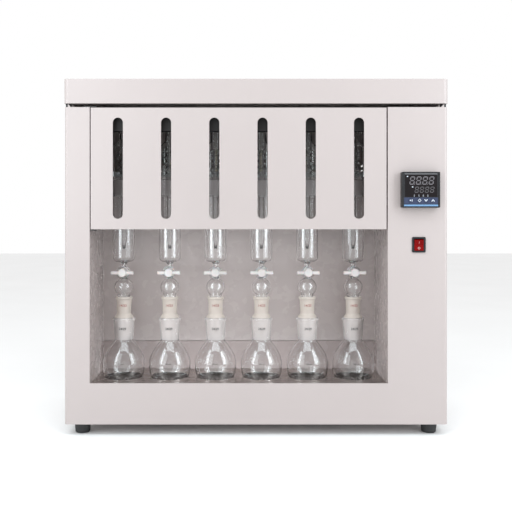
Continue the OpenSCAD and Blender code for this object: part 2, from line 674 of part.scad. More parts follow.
module stopcock_key(i) color([0.96, 0.96, 0.95]) at_station(i) translate([0, 0, cock_z]) {
    difference() {
        union() {
            rod_y(plug_r, -barrel_l - 0.4, barrel_l + 1.2);
            rod_y(8.3, -27.5, -barrel_l - 0.4);
            rod_y(7, -28.4, -27.5);
            for (s = [-1, 1]) translate([s * handle_l / 2, handle_y, 0]) rotate([0, -s * 90, 0])
                lathe(concat([[0, 0], [handle_r - 1, 0], [handle_r, 1.2], [handle_r - 0.5, handle_l / 2], [0, handle_l / 2]]));
        }
        // Bore across the plug, shut at rest
        rod_x(1.5, -8, 8);
    }
    // Washer and retaining nut behind the barrel
    difference() {
        union() {
            rod_y(8.6, barrel_l + 1.4, barrel_l + 2.9);
            translate([0, barrel_l + 7.9, 0]) rotate([90, 0, 0]) cylinder(r = 8, h = 4.8, $fn = 6);
        }
        rod_y(3, barrel_l, barrel_l + 5.5);
    }
    rod_y(3, barrel_l + 1.2, barrel_l + 5.5);
}

drip_tip = 353;
drip_r = 6;
jacket_z0 = 492;
jacket_z1 = 556;
vent_top = 600;
waves = 8;

inner_r = 6.2;
bulbs = 5;
drip_z = [drip_tip + 18, jacket_z0 - 36];
bulbs_z = [jacket_z0 + 2, jacket_z1 - 2];

// Rippled wall of the drip tube and bulbed wall of the tube in the jacket, inset by w
function drip_wall(w) = [for (k = [0:4 * waves])
    [drip_r - 0.6 - w + 0.9 * sin(k * 90), drip_z[0] + k * (drip_z[1] - drip_z[0]) / (4 * waves)]];
function bulb_wall(w) = [for (k = [0:4 * bulbs])
    [10.5 - w + 2.6 * sin(k * 90 - 90), bulbs_z[0] + k * (bulbs_z[1] - bulbs_z[0]) / (4 * bulbs)]];

module condenser(i) color(glass) at_station(i) {
    difference() {
        union() {
            // Jacket with its ground cone, neck and vent
            lathe([[tube_socket(463) - joint_film, 463], [tube_socket(tube_top) - joint_film, tube_top],
                [19.8, tube_top + 0.8], [tube_r, jacket_z0 + 2], [tube_r, jacket_z1], [19.6, jacket_z1 + 4.5],
                [14, jacket_z1 + 9], [10.6, jacket_z1 + 13], [10, vent_top - 3], [11.6, vent_top], [8.6, vent_top],
                [8.6, jacket_z1 + 12], [12.6, jacket_z1 + 8], [18.6, jacket_z1 + 3], [tube_r - wall, jacket_z1 - 1],
                [tube_r - wall, jacket_z0 + 4], [17.4, jacket_z0 + 1], [16.8, 463]]);
            for (z = [supply_z, return_z]) rod_y(stub_r + 0.4, tube_r - 1, tube_r + 5, 0, z);
            for (z = [supply_z, return_z]) rod_y(stub_r, tube_r - 1, tube_r + 20, 0, z);
        }
        for (z = [supply_z, return_z]) rod_y(stub_r - 1.2, tube_r - 5, tube_r + 21, 0, z);
    }
    // Inner tube: bulbs inside the jacket, then the long drip tube
    lathe(concat([[1.5, drip_tip], [2.7, drip_tip]], drip_wall(0),
        [[inner_r, jacket_z0 - 30], [inner_r, jacket_z0 - 4]], bulb_wall(0),
        [[8.5, jacket_z1 + 2], [8.5, vent_top - 6], [7.3, vent_top - 6], [7.3, jacket_z1 + 2]],
        reversed(bulb_wall(1.2)), [[inner_r - 1.2, jacket_z0 - 4], [inner_r - 1.2, jacket_z0 - 30]],
        reversed(drip_wall(1.2))));
}

outer_casing();
base_pan();
rear_panel();
recess_liner();
splash_panel();
bath_cover_plate();
bath_tank();
flask_grid();
heater_element();
temperature_probe();
condenser_clips();
top_front_rail();
water_manifolds();
condenser_hoses();
feet();
screws();
lid();
lid_hinges();
lid_buffers();
door();
door_fittings();
controller();
rocker_frame();
rocker();
power_inlet();
relay_module();
for (k = [0:3]) key_button(k);
for (i = [1:stations]) {
    flask(i);
    adapter(i);
    extraction_tube(i);
    stopcock_key(i);
    condenser(i);
}
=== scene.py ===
"""Looks of a six-station Soxhlet extractor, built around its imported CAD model. Metres, +Z up, front towards -Y."""
import math

import bmesh
import bpy
from mathutils import Matrix, Vector


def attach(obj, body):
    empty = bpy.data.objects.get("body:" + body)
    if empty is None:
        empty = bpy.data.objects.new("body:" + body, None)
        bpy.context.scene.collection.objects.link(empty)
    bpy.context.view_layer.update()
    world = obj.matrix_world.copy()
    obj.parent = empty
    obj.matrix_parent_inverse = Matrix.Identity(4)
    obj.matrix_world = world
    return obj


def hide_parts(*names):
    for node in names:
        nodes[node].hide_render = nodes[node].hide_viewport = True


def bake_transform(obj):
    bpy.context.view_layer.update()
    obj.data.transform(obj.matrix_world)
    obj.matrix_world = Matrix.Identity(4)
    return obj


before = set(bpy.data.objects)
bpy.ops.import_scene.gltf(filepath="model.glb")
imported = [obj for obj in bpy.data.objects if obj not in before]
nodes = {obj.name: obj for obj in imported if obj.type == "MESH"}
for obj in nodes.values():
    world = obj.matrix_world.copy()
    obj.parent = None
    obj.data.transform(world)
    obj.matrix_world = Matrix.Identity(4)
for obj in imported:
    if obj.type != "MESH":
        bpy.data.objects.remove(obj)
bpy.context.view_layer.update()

STATIONS = range(1, 7)
MM = 0.001

# ---- Camera ----

SENSOR_MM = 36.0
LENS_MM = 51.5109375
EYE = Vector((-0.0306, -1.555, 0.4275))
# The lens looks straight back, and its picture is taken a little off centre
SHIFT_X, SHIFT_Y = 0.03125, -0.0859375

camera_data = bpy.data.cameras.new("camera")
camera_data.sensor_width = SENSOR_MM
camera_data.lens = LENS_MM
camera_data.shift_x = SHIFT_X
camera_data.shift_y = SHIFT_Y
camera = bpy.data.objects.new("camera", camera_data)
camera.location = EYE
camera.rotation_euler = (math.radians(90), 0, 0)
bpy.context.scene.collection.objects.link(camera)
bpy.context.scene.camera = camera

# ---- Studio ----

LAMP_COLOUR = (0.91, 1.0, 1.04)
LAMP_HEIGHT = 1.3
WHITE = (1.0, 1.0, 1.0, 1.0)


def softbox(name, place, aim, size, power):
    """A rectangular area lamp at place that points at aim. Size is its width and height."""
    data = bpy.data.lights.new(name, "AREA")
    data.shape = "RECTANGLE"
    data.size, data.size_y = size
    data.energy = power
    data.color = LAMP_COLOUR
    lamp = bpy.data.objects.new(name, data)
    lamp.location = place
    lamp.rotation_euler = (Vector(aim) - Vector(place)).to_track_quat("-Z", "Y").to_euler()
    bpy.context.scene.collection.objects.link(lamp)
    return lamp


for name, side in (("softbox_left", -1), ("softbox_right", 1)):
    softbox(name, (side * 1.02, -0.86, 0.84), (side * 0.05, 0, 0.44), (0.40, LAMP_HEIGHT), 8.2)
softbox("softbox_top", (0.0, -0.9, 1.9), (0, 0, 0.55), (1.6, 0.6), 11.5)
# Broad reflectors that light no matt surface: they put the wide bars on the glass
for name, x, y, width, power in (("reflector_left", -0.80, -1.17, 0.75, 7.8),
                                 ("reflector_right", 1.05, -0.75, 0.85, 8.5)):
    reflector = softbox(name, (x, y, 0.75), (-0.03, -0.08, 0.40), (width, LAMP_HEIGHT), power)
    reflector.visible_diffuse = False

world = bpy.data.worlds.new("studio")
world.use_nodes = True
background = world.node_tree.nodes["Background"]
background.inputs["Color"].default_value = WHITE
background.inputs["Strength"].default_value = 1.0
bpy.context.scene.world = world
bpy.context.scene.view_settings.view_transform = "Standard"

# ---- Materials ----


class Finish:
    """A Principled material whose colour, roughness and relief come from node textures in the object's own space."""

    def __init__(self, name, **sockets):
        self.material = bpy.data.materials.new(name)
        self.material.use_nodes = True
        self.tree = self.material.node_tree
        self.shader = self.tree.nodes["Principled BSDF"]
        self.place = self.tree.nodes.new("ShaderNodeTexCoord").outputs["Object"]
        for socket, value in sockets.items():
            self.shader.inputs[socket.replace("_", " ")].default_value = value

    def noise(self, scale, stretch=(1, 1, 1), detail=3.0, roughness=0.5):
        """Noise with about scale features a metre, drawn out along the axes whose stretch is small."""
        mapping = self.tree.nodes.new("ShaderNodeMapping")
        mapping.inputs["Scale"].default_value = stretch
        self.tree.links.new(self.place, mapping.inputs["Vector"])
        texture = self.tree.nodes.new("ShaderNodeTexNoise")
        texture.inputs["Scale"].default_value = scale
        texture.inputs["Detail"].default_value = detail
        texture.inputs["Roughness"].default_value = roughness
        self.tree.links.new(mapping.outputs["Vector"], texture.inputs["Vector"])
        return texture.outputs["Fac"]

    def spread(self, factor, low, high):
        """Noise, which mostly lies between 0.3 and 0.7, mapped to low..high."""
        ramp = self.tree.nodes.new("ShaderNodeMapRange")
        for socket, value in (("From Min", 0.3), ("From Max", 0.7), ("To Min", low), ("To Max", high)):
            ramp.inputs[socket].default_value = value
        self.tree.links.new(factor, ramp.inputs["Value"])
        return ramp.outputs["Result"]

    def colours(self, factor, dark, light):
        """The surface's colour, between dark and light."""
        mix = self.tree.nodes.new("ShaderNodeMix")
        mix.data_type = "RGBA"
        mix.inputs["A"].default_value = (*dark, 1)
        mix.inputs["B"].default_value = (*light, 1)
        self.tree.links.new(factor, mix.inputs["Factor"])
        self.tree.links.new(mix.outputs["Result"], self.shader.inputs["Base Color"])
        return self

    def rough(self, factor, low, high):
        """The surface's roughness, between low and high."""
        self.tree.links.new(self.spread(factor, low, high), self.shader.inputs["Roughness"])
        return self

    def relief(self, factor, depth, strength):
        """A bump of about depth metres."""
        bump = self.tree.nodes.new("ShaderNodeBump")
        bump.inputs["Strength"].default_value = strength
        bump.inputs["Distance"].default_value = depth
        self.tree.links.new(factor, bump.inputs["Height"])
        self.tree.links.new(bump.outputs["Normal"], self.shader.inputs["Normal"])
        return self


GLASS_IOR = 1.47


def shade(colour, gain):
    """The colour made lighter or darker."""
    return tuple(min(1.0, c * gain) for c in colour)


def powder_coat(name, colour, roughness=0.38):
    """Baked powder paint: a faint drift of tone and a fine orange peel."""
    finish = Finish(name, Specular_IOR_Level=0.45)
    peel = finish.noise(420, detail=2.0)
    finish.colours(finish.spread(finish.noise(9, detail=2.0), 0, 1), shade(colour, 0.99), shade(colour, 1.01))
    finish.rough(finish.noise(40, detail=2.0), roughness - 0.02, roughness + 0.02)
    return finish.relief(peel, 0.00012, 0.35).material


def brushed_steel(name, colour, along=(0.02, 1, 1), roughness=0.26):
    """Rolled stainless sheet with fine grain drawn along one axis."""
    finish = Finish(name, Metallic=1.0)
    grain = finish.noise(900, stretch=along, detail=4.0, roughness=0.65)
    finish.colours(finish.spread(finish.noise(14, detail=2.0), 0, 1), shade(colour, 0.96), shade(colour, 1.03))
    finish.rough(grain, roughness - 0.03, roughness + 0.05)
    return finish.relief(grain, 0.00002, 0.3).material


def moulded(name, colour, roughness=0.45, grain=0.00005, **sockets):
    """Moulded plastic or rubber with a fine matt grain."""
    finish = Finish(name, **sockets)
    fine = finish.noise(1800, detail=2.0)
    finish.colours(finish.spread(finish.noise(40, detail=4.0), 0, 1), shade(colour, 0.88), shade(colour, 1.1))
    finish.rough(finish.noise(150, detail=3.0), roughness - 0.06, roughness + 0.08)
    return finish.relief(fine, grain, 0.6).material


def clear_glass(name, colour):
    """Blown borosilicate glass, with the faint waves of hand work."""
    finish = Finish(name, Transmission_Weight=1.0, IOR=GLASS_IOR, Roughness=0.0, Specular_IOR_Level=0.5)
    finish.colours(finish.spread(finish.noise(30), 0, 1), shade(colour, 0.985), colour)
    return finish.relief(finish.noise(45, detail=1.0), 0.00002, 0.5).material


def ground_glass(name, colour, clear):
    """Ground glass: a fine matt tooth that scatters what is behind it. Clear is the share of light let through."""
    finish = Finish(name, Transmission_Weight=clear, IOR=GLASS_IOR)
    tooth = finish.spread(finish.noise(110, (1, 1, 0.25), detail=3.0), 0, 1)
    finish.colours(tooth, shade(colour, 0.95), shade(colour, 1.02))
    finish.rough(finish.noise(300, detail=3.0), 0.47, 0.65)
    return finish.relief(finish.noise(2500, detail=2.0), 0.00005, 0.8).material


PAINT = powder_coat("paint", (0.434, 0.382, 0.373))
# Painted shade: the cabinet paint made darker and warmer for the recess liner, and darker still for the splash panel
# at the foot of the recess
RECESS_SHADE_PAINT = powder_coat("liner_painted_shade", (0.408, 0.350, 0.338), 0.27)
SPLASH_SHADE_PAINT = powder_coat("splash_painted_shade", (0.320, 0.262, 0.252), 0.27)
# Painted shade: near-black for the rail and door fittings, standing in for the shade inside the closed condenser
# compartment and in the lid gap
SHADE_PAINT = powder_coat("dark_paint", (0.014, 0.012, 0.012), 0.55)
STEEL = brushed_steel("bath_steel", (0.40, 0.355, 0.332), roughness=0.26)
# Painted shade: near-black steel for the bath tank and grid, standing in for the dark inside of the bath under the
# glass, which casts no shadow
BATH_SHADE_STEEL = brushed_steel("bath_painted_shade", (0.075, 0.07, 0.066), roughness=0.45)
CLIP_STEEL = brushed_steel("clip_steel", (0.60, 0.60, 0.60), (1, 1, 0.05), 0.3)
NICKEL = brushed_steel("nickel", (0.66, 0.65, 0.62), (1, 1, 1), 0.22)
BLACK = moulded("black_plastic", (0.011, 0.011, 0.013), 0.42, Specular_IOR_Level=0.3)
RUBBER = moulded("rubber", (0.018, 0.018, 0.019), 0.62, 0.0001)
PTFE = moulded("ptfe", (0.57, 0.535, 0.525), 0.36, 0.00002, Subsurface_Weight=0.25, Subsurface_Scale=0.003)
HOSE = moulded("hose", (0.72, 0.66, 0.52), 0.4, 0.00003, Subsurface_Weight=0.4, Subsurface_Scale=0.004)
GREY_MOULDING = moulded("grey_moulding", (0.62, 0.62, 0.60), 0.5)
GLASS = clear_glass("glass", (1.0, 1.0, 1.0))
GROUND = ground_glass("ground_glass", (0.60, 0.545, 0.535), 0.48)
TINTED = ground_glass("tinted_ground_glass", (0.62, 0.555, 0.505), 0.42)

RED = moulded("red_plastic", (0.19, 0.001, 0.001), 0.4, Specular_IOR_Level=0.08)
WINDOW = moulded("display_window", (0.008, 0.006, 0.007), 0.16, 0.00001, Specular_IOR_Level=0.2)
DIGIT = moulded("digit", (0.12, 0.11, 0.12), 0.4, 0.00001)
DIGIT_DIM = moulded("digit_dim", (0.065, 0.06, 0.065), 0.4, 0.00001)
PRINT = moulded("print", (0.50, 0.54, 0.60), 0.5, 0.00001)
PRINT_DIM = moulded("print_dim", (0.13, 0.13, 0.14), 0.5, 0.00001)
BAND = moulded("key_band", (0.030, 0.041, 0.086), 0.42, Specular_IOR_Level=0.25)
SKY = moulded("maker_bar", (0.14, 0.27, 0.46), 0.4, Specular_IOR_Level=0.3)
INK = moulded("ink", (0.03, 0.03, 0.035), 0.5, 0.00001)
INK_RED = moulded("ink_red", (0.26, 0.03, 0.02), 0.5, 0.00001)
PINK = moulded("rocker_on", (0.45, 0.16, 0.16), 0.4, 0.00001)
PALE = moulded("rocker_off", (0.50, 0.34, 0.32), 0.4, 0.00001)

# ---- Shapes ----


def link(name, mesh, *materials, body="root", replaces=(), slot=None):
    """A piece from a mesh: it rides on body and stands for the CAD nodes in replaces. Slot is not used."""
    piece = bpy.data.objects.new(name, mesh)
    bpy.context.scene.collection.objects.link(piece)
    for material in materials:
        mesh.materials.append(material)
    if body:
        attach(piece, body)
    if replaces:
        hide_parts(*replaces)
    return piece


def finish_mesh(name, work, smooth):
    """A mesh from a bmesh, smooth-shaded with its corners sharper than smooth degrees kept."""
    bmesh.ops.recalc_face_normals(work, faces=work.faces)
    mesh = bpy.data.meshes.new(name)
    work.to_mesh(mesh)
    work.free()
    for polygon in mesh.polygons:
        polygon.use_smooth = True
    mesh.set_sharp_from_angle(angle=math.radians(smooth))
    return mesh


ON_AXIS = 1e-7
AXIS_TURNS = {"Z": Matrix.Identity(4), "Y": Matrix.Rotation(math.radians(90), 4, "X"),
              "X": Matrix.Rotation(math.radians(90), 4, "Y")}


def ring_angles(count):
    """Angles of count even steps round a circle, in radians."""
    return [2 * math.pi * k / count for k in range(count)]


def lathe(name, outline, axis_point, axis="Z", segments=72, smooth=40):
    """A closed outline of (radius, height) points in metres, turned about an axis through axis_point."""
    work = bmesh.new()
    rings = []
    for radius, height in outline:
        if radius < ON_AXIS:
            rings.append([work.verts.new((0, 0, height))])
        else:
            rings.append([work.verts.new((radius * math.cos(a), radius * math.sin(a), height))
                          for a in ring_angles(segments)])
    for low, high in zip(rings, rings[1:] + rings[:1]):
        if len(low) == 1 and len(high) == 1:
            continue
        for k in range(segments):
            loop = [low[k % len(low)], low[(k + 1) % len(low)], high[(k + 1) % len(high)], high[k % len(high)]]
            corners = list(dict.fromkeys(loop))
            if len(corners) > 2:
                work.faces.new(corners)
    bmesh.ops.transform(work, matrix=Matrix.Translation(axis_point) @ AXIS_TURNS[axis], verts=work.verts)
    return finish_mesh(name, work, smooth)


def arc(centre, radius, start, end, steps):
    """Points on an arc, from start to end degrees."""
    angles = (math.radians(start + (end - start) * k / steps) for k in range(steps + 1))
    return [(centre[0] + radius * math.cos(a), centre[1] + radius * math.sin(a)) for a in angles]


def scaled(points):
    """Millimetres to metres."""
    return [(r * MM, z * MM) for r, z in points]


def soften(name, material, width):
    """A CAD node with its material, and with its sharp edges rounded by modifiers if width isn't 0."""
    piece = nodes[name]
    piece.data.materials.clear()
    piece.data.materials.append(material)
    weld = piece.modifiers.new("weld", "WELD")
    weld.merge_threshold = 1e-6
    if width:
        flat = piece.modifiers.new("flat", "DECIMATE")
        flat.decimate_type = "DISSOLVE"
        flat.angle_limit = math.radians(0.5)
        bevel = piece.modifiers.new("bevel", "BEVEL")
        bevel.width = width
        bevel.segments = 2
        bevel.limit_method = "ANGLE"
        bevel.angle_limit = math.radians(30)
        bevel.harden_normals = True


# ---- Cabinet ----

for name, width in (("outer_casing", 0.0007), ("base_pan", 0.0004), ("rear_panel", 0.0004), ("lid", 0.0012),
                    ("door", 0.0006)):
    soften(name, PAINT, width)
# Recess liner and splash panel take shaded copies of the cabinet paint: painted shade of the recess
for name, finish in (("recess_liner", RECESS_SHADE_PAINT), ("splash_panel", SPLASH_SHADE_PAINT)):
    soften(name, finish, 0.0003)
# The bath tank and grid take the near-black painted shade; the cover plate keeps the plain steel
for name, steel in (("bath_cover_plate", STEEL), ("bath_tank", BATH_SHADE_STEEL), ("flask_grid", BATH_SHADE_STEEL)):
    soften(name, steel, 0.0003)
for name in ("condenser_clips", "heater_element", "temperature_probe", "water_manifolds"):
    soften(name, CLIP_STEEL, 0)
for name in ("screws", "lid_hinges"):
    soften(name, NICKEL, 0.0002)
# The rail and door fittings take the near-black painted shade of the closed compartment and lid gap
for name in ("door_fittings", "top_front_rail"):
    soften(name, SHADE_PAINT, 0.0003)
for name in ("feet", "lid_buffers"):
    soften(name, RUBBER, 0.0005)
for name in ("controller", "rocker_frame", "power_inlet"):
    soften(name, BLACK, 0.0004)
soften("relay_module", GREY_MOULDING, 0.0005)

# ---- Outlines in millimetres ----


def reach(start, end, step):
    """Numbers from start to end, both included, about step apart."""
    count = max(1, round(abs(end - start) / step))
    return [start + (end - start) * k / count for k in range(count + 1)]


def eased(points, cut, least=9.0):
    """The outline with each corner that turns by more than least degrees rounded over at most cut."""
    done = []
    for k, point in enumerate(points):
        here, before, after = Vector(point), Vector(points[k - 1]), Vector(points[(k + 1) % len(points)])
        back, ahead = before - here, after - here
        nothing_to_round = here.x < 1e-6 or min(back.length, ahead.length) < 1e-6
        if nothing_to_round or math.degrees((-back).angle(ahead)) < least:
            done.append(tuple(here))
            continue
        a = here + back.normalized() * min(cut, back.length * 0.45)
        b = here + ahead.normalized() * min(cut, ahead.length * 0.45)
        for t in (0, 0.33, 0.67, 1):
            done.append(tuple(a * (1 - t) ** 2 + here * 2 * t * (1 - t) + b * t * t))
    return done


def glass_part(name, outline, station, body, replaces, ground=(), material=GLASS, cut=1.5, slot="glass"):
    """A turned glass piece at a station. Faces within the (low, high, side) bands of ground get the ground finish."""
    x = station_x(station)
    mesh = lathe(name, scaled(eased(outline, cut)), (x * MM, GLASS_Y * MM, 0))
    piece = link(name, mesh, material, GROUND, body=body, replaces=[replaces], slot=slot)
    for polygon in mesh.polygons:
        centre, normal = polygon.center, polygon.normal
        outward = normal.x * (centre.x - x * MM) + normal.y * (centre.y - GLASS_Y * MM) > 0
        for low, high, side in ground:
            if low * MM <= centre.z <= high * MM and outward == (side == "outer"):
                polygon.material_index = 1
    piece.visible_shadow = False
    return piece


def join(name, meshes):
    """One mesh from several."""
    work = bmesh.new()
    for mesh in meshes:
        work.from_mesh(mesh)
    joined = bpy.data.meshes.new(name)
    work.to_mesh(joined)
    work.free()
    return joined


# ---- Glassware ----

# Millimetres, as in the outlines
GLASS_Y = -80.0
STATION_STEP = 92.2
MIDDLE_X = -33.6
WALL = 1.8
TUBE_R = 21.8
TUBE_CORNER = 8
STOPCOCK_Z = 307
SPIGOT_LEVELS = {"supply": 520, "return": 548}  # heights of the condenser's water spigots
TIP_RADIUS = 2.7


def station_x(i):
    """The x of station i, counted from the left."""
    return MIDDLE_X + (i - 3.5) * STATION_STEP


def flask_socket(z):
    """The radius of the ground socket in the flask's neck at height z."""
    return 16.4 + (z - 170) * 0.055


def adapter_socket(z):
    """The radius of the ground socket in the adapter at height z."""
    return 11.8 + (z - 224) * 0.045


def tube_socket(z):
    """The radius of the ground socket in the extraction tube at height z."""
    return 18.9 + (z - 461) * 0.045


FLASK_FOOT = 84
BELLY_Z = 123
BELLY_R = 41.8
SHOULDER_R = 18.2
SHOULDER_RISE = 47
SHOULDER_SWELL = 23.6


def belly(w):
    """The flask's belly and shoulder, inset by w, from the bottom up."""
    points = []
    for degrees in reach(3, 89.5, 4.3):
        a = math.radians(degrees)
        drop = (BELLY_Z - FLASK_FOOT - w) * math.cos(a) ** (2 / 3)
        points.append(((BELLY_R - w) * math.sin(a) ** (2 / 3), FLASK_FOOT + w if degrees < 4 else BELLY_Z - drop))
    for t in reach(0, 1, 0.06):
        points.append((SHOULDER_R - w + SHOULDER_SWELL * math.cos(math.radians(90 * t)), BELLY_Z + SHOULDER_RISE * t))
    return points


FLASK = ([(0, FLASK_FOOT)] + belly(0) + [(21.2, 210)] + arc((21.2, 212.5), 1.9, -60, 60, 6)
         + [(21.2, 216), (flask_socket(216), 216), (flask_socket(172), 172)] + belly(WALL)[::-1]
         + [(0, FLASK_FOOT + WALL)])

ADAPTER = ([(flask_socket(178) - 0.1, 178), (flask_socket(216) - 0.1, 216), (18.6, 217.5), (16.2, 220.6),
            (14.2, 223), (13.85, 226), (15.0, 251)] + arc((15.4, 254.6), 1.9, -60, 60, 6)
           + [(15.4, 258), (adapter_socket(258), 258), (adapter_socket(224), 224), (11.6, 222), (14.4, 216),
              (13.4, 178)])

TUBE_LOW = ([(adapter_socket(226) - 0.1, 226), (adapter_socket(256) - 0.1, 256), (11.6, 259)]
            + arc((0, 276.5), 19, -48, 72, 26) + [(5, 297), (5, 298.4), (2.7, 298.4), (2.7, 293.5)]
            + arc((0, 276.5), 19 - WALL, 78, -54, 26) + [(9.4, 258), (9.4, 226)])

CORNER_CENTRE = (TUBE_R - TUBE_CORNER, 336)
TUBE_HIGH = ([(5, 315.6), (5, 320), (6.2, 325), (9, 327.4), (CORNER_CENTRE[0], 328)]
             + arc(CORNER_CENTRE, TUBE_CORNER, -80, 0, 10)
             + [(TUBE_R, 491), (tube_socket(491), 491), (tube_socket(461), 461), (20, 458)]
             + arc(CORNER_CENTRE, TUBE_CORNER - WALL, 0, -88, 10) + [(2.7, 329.2), (2.7, 315.6)])

JACKET = [(tube_socket(463) - 0.1, 463), (tube_socket(491) - 0.1, 491), (19.8, 491.8), (TUBE_R, 494), (TUBE_R, 556),
          (19.6, 560.5), (14, 565), (10.6, 569), (10, 597), (11.6, 600), (8.6, 600), (8.6, 568), (12.6, 564),
          (18.6, 559), (20, 555), (20, 496), (17.4, 493), (16.8, 463)]


def drip_wall(w):
    """The rippled wall of the drip tube, from the bottom up."""
    return [(5.4 - w + 0.9 * math.sin(math.radians(t * 360)), 371 + t * 85 / 8) for t in reach(0, 8, 1 / 9)]


def bulb_wall(w):
    """The bulbed wall of the tube inside the jacket, from the bottom up."""
    return [(10.5 - w - 2.6 * math.cos(math.radians(t * 360)), 494 + t * 12) for t in reach(0, 5, 1 / 12)]


INNER = ([(1.5, 353), (TIP_RADIUS, 353)] + drip_wall(0) + [(6.2, 462), (6.2, 488)] + bulb_wall(0)
         + [(8.5, 558), (8.5, 594), (7.3, 594), (7.3, 558)] + bulb_wall(1.2)[::-1] + [(5, 488), (5, 462)]
         + drip_wall(1.2)[::-1])


def barb(x, z):
    """A water spigot with ridges for its hose, towards the back."""
    ridges = []
    for y in (34, 37, 40):
        ridges += [(3.75, y - 1.4), (4.0, y), (3.75, y + 0.1)]
    outline = [(2.8, 19.6), (4.6, 19.9), (4.4, 22), (4.4, 26.3), (3.75, 27.2)] + ridges + [(3.4, 41.8), (2.8, 41.8)]
    return lathe("barb", scaled([(r, -y) for r, y in outline]), (x * MM, GLASS_Y * MM, z * MM), "Y", 32, 60)


def stopcock(i):
    """PTFE key with a cross handle, and its washer and nut behind the barrel."""
    x = station_x(i)
    place = (x * MM, GLASS_Y * MM, STOPCOCK_Z * MM)
    head = [(0, 18.2), (6, 18.2), (6, -17.4), (7.7, -17.4), (8.3, -18), (8.3, -26.6), (7.9, -27.6), (6.9, -28.3),
            (5.9, -28.4), (5.4, -27.8), (0, -27.6)]
    parts = [lathe("head", scaled([(r, -y) for r, y in eased(head, 0.4, 30)]), place, "Y", 48, 50)]
    half = [(3.2, 0), (3.3, 12), (3.6, 18), (3.85, 20.4)] + arc((1.85, 20.5), 2.0, 0, 90, 6) + [(0, 22.5)]
    handle = [(r, -l) for r, l in half[::-1]] + half[1:]
    parts.append(lathe("handle", scaled(handle), (x * MM, (GLASS_Y - 24) * MM, STOPCOCK_Z * MM), "X", 36, 50))
    washer = [(3.1, 18.4), (8.2, 18.4), (8.6, 18.8), (8.6, 19.5), (8.2, 19.9), (3.1, 19.9)]
    parts.append(lathe("washer", scaled([(r, -y) for r, y in washer]), place, "Y", 48, 30))
    nut = [(0, 20.1), (7.2, 20.1), (8, 20.8), (8, 24.2), (7.2, 24.9), (0, 24.9)]
    parts.append(lathe("nut", scaled([(r, -y) for r, y in nut]), place, "Y", 6, 20))
    stem = [(0, 18.0), (2.9, 18.0), (2.9, 22.5), (0, 22.5)]
    parts.append(lathe("stem", scaled([(r, -y) for r, y in stem]), place, "Y", 24, 30))
    link(f"key_{i}", join(f"key_{i}", parts), PTFE, body=f"stopcock_{i}", replaces=[f"stopcock_key_{i}"], slot="ptfe")


BARREL = [(6.05, 17), (9.4, 17), (10, 16.4), (10, -13), (12.4, -14), (13, -14.6), (13, -16.4), (12.4, -17),
          (6.05, -17)]
TIP_TOP = 353.5
TIP_SLANT = 4

for i in STATIONS:
    x = station_x(i)
    glass_part(f"flask_glass_{i}", FLASK, i, "root", f"flask_{i}", [(172, 216, "inner")], cut=3)
    glass_part(f"adapter_glass_{i}", ADAPTER, i, f"tube_{i}", f"adapter_{i}", material=TINTED, slot="frosted_glass")
    glass_part(f"bulb_glass_{i}", TUBE_LOW, i, f"tube_{i}", f"extraction_tube_{i}", [(226, 256, "outer")], cut=2)
    glass_part(f"tube_glass_{i}", TUBE_HIGH, i, f"tube_{i}", f"extraction_tube_{i}", [(461, 491, "inner")], cut=2)
    mesh = lathe("barrel", scaled([(r, -y) for r, y in BARREL]), (x * MM, GLASS_Y * MM, STOPCOCK_Z * MM), "Y", 64, 40)
    cock = link(f"barrel_glass_{i}", mesh, GLASS, body=f"tube_{i}", replaces=[f"extraction_tube_{i}"], slot="glass")
    cock.visible_shadow = False
    stopcock(i)
    glass_part(f"jacket_glass_{i}", JACKET, i, f"condenser_{i}", f"condenser_{i}", [(463, 491, "outer")], cut=2)
    inner = glass_part(f"inner_glass_{i}", INNER, i, f"condenser_{i}", f"condenser_{i}", cut=1)
    for vertex in inner.data.vertices:
        # Slanted tip that opens towards the front
        if vertex.co.z < TIP_TOP * MM:
            forward = 0.5 - (vertex.co.y - GLASS_Y * MM) / (2 * TIP_RADIUS * MM)
            vertex.co.z += TIP_SLANT * MM * forward
    barbs = [barb(x, z) for z in SPIGOT_LEVELS.values()]
    spigots = link(f"spigots_{i}", join(f"spigots_{i}", barbs), GLASS, body=f"condenser_{i}",
                   replaces=[f"condenser_{i}"], slot="glass")
    spigots.visible_shadow = False

# ---- Hoses ----

HOSE_RADII = (5.2, 4.1)
HOSE_SIDES = 28
HOSE_CURVE_Y = (-38.2, -2.2, 2, 38)  # control points of the curve between the straight ends
HOSE_BOW = 28
FRONT_END_Y = (-49.5, -46, -42)
BACK_END_Y = (42, 46, 49.5)
ACROSS = Vector((1, 0, 0))


